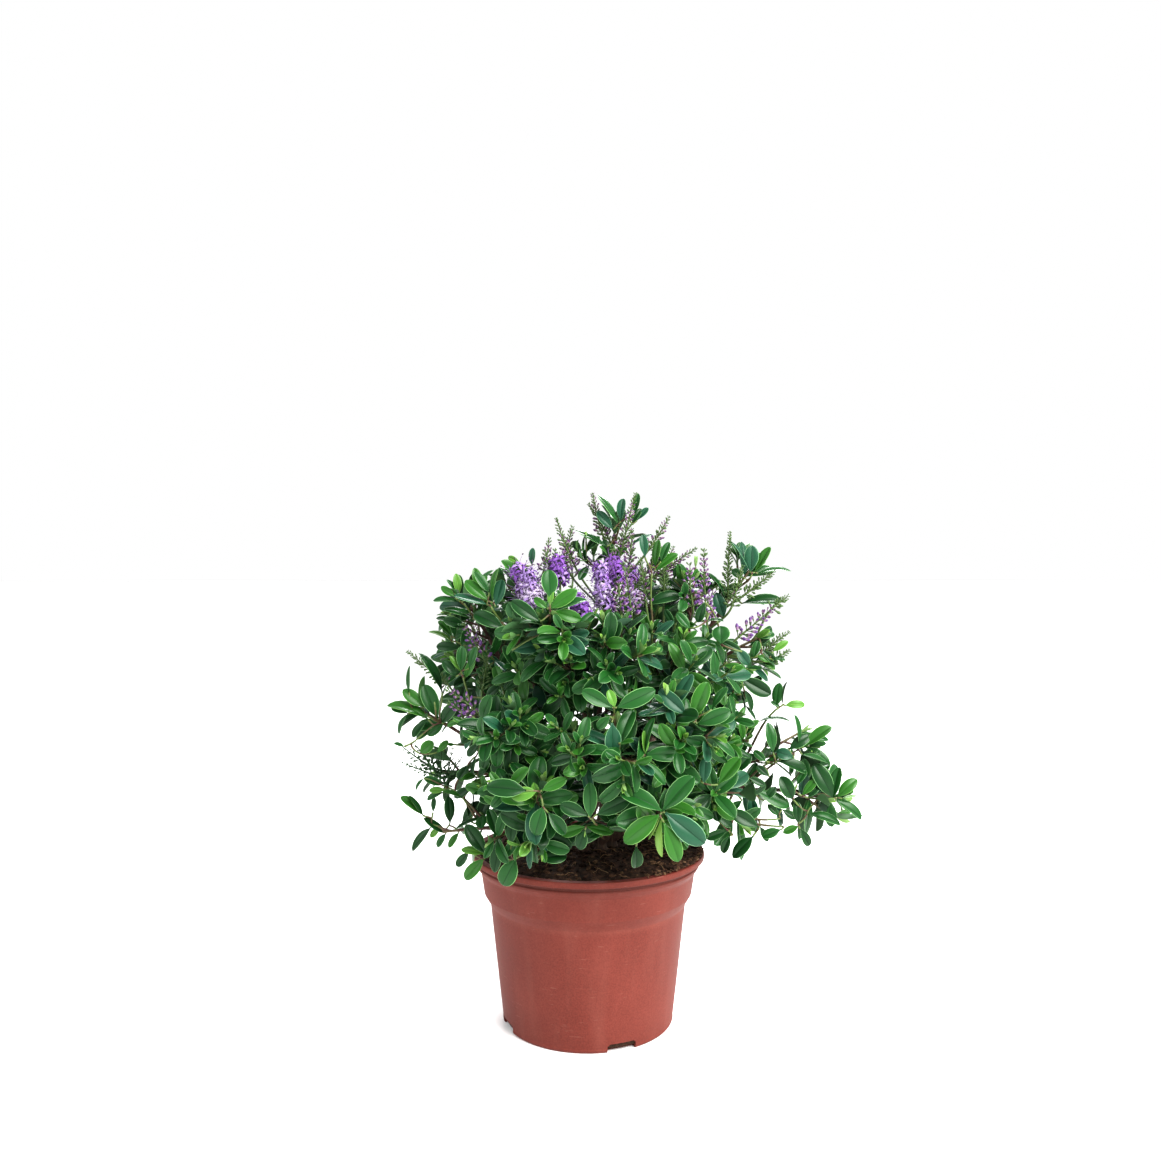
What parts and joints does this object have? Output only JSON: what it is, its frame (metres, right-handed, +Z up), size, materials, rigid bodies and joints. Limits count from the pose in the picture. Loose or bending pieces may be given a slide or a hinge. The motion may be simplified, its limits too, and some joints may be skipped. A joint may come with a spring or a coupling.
{
  "type": "potted hebe shrub",
  "caption": "Bushy young hebe shrub with glossy evergreen leaves and upright lilac flower spikes, standing in a round tapered terracotta-coloured plastic nursery pot filled with soil.",
  "frame": {"origin": "centre of the pot's flat underside, on the pot's axis", "axes": "+Z up along the pot's axis; the side that the picture shows faces -Y, with +X to its right"},
  "size_m": [0.351, 0.2882, 0.3833],
  "materials": {
    "pot": "matte",
    "soil": "matte",
    "bark": "matte",
    "foliage": "satin"
  },
  "bodies": {
    "root": {"bough_back_left": "bark", "bough_back_low_left": "bark", "bough_back_right": "bark", "bough_back_top_left": "bark", "bough_bloom_left": "bark", "bough_bloom_right": "bark", "bough_front_left": "bark", "bough_front_low_left": "bark", "bough_front_middle": "bark", "bough_front_right": "bark", "bough_front_upper_left": "bark", "bough_left_foot": "bark", "bough_left_low": "bark", "bough_left_shoulder": "bark", "bough_right_foot": "bark", "bough_right_shoulder": "bark", "bough_right_side": "bark", "foliage_back_left": "foliage", "foliage_back_low_left": "foliage", "foliage_back_low_right": "foliage", "foliage_back_right": "foliage", "foliage_back_top_left": "foliage", "foliage_back_top_right": "foliage", "foliage_bloom_left": "foliage", "foliage_bloom_right": "foliage", "foliage_crown_top": "foliage", "foliage_front_left": "foliage", "foliage_front_low": "foliage", "foliage_front_low_left": "foliage", "foliage_front_low_right": "foliage", "foliage_front_middle": "foliage", "foliage_front_right": "foliage", "foliage_front_upper": "foliage", "foliage_front_upper_left": "foliage", "foliage_heart_left": "foliage", "foliage_heart_right": "foliage", "foliage_left_foot": "foliage", "foliage_left_low": "foliage", "foliage_left_rim": "foliage", "foliage_left_shoulder": "foliage", "foliage_left_side": "foliage", "foliage_right_foot": "foliage", "foliage_right_front_low": "foliage", "foliage_right_low": "foliage", "foliage_right_shoulder": "foliage", "foliage_right_side": "foliage", "foliage_upper_left": "foliage", "foliage_upper_right": "foliage", "pot": "pot", "soil": "soil", "stem_back_low_right": "bark", "stem_back_top_right": "bark", "stem_crown_top": "bark", "stem_front_low_right": "bark", "stem_front_upper": "bark", "stem_left_rim": "bark", "stem_left_side": "bark", "stem_right_low": "bark", "stem_upper_left": "bark", "stem_upper_right": "bark"}
  },
  "joints": []
}
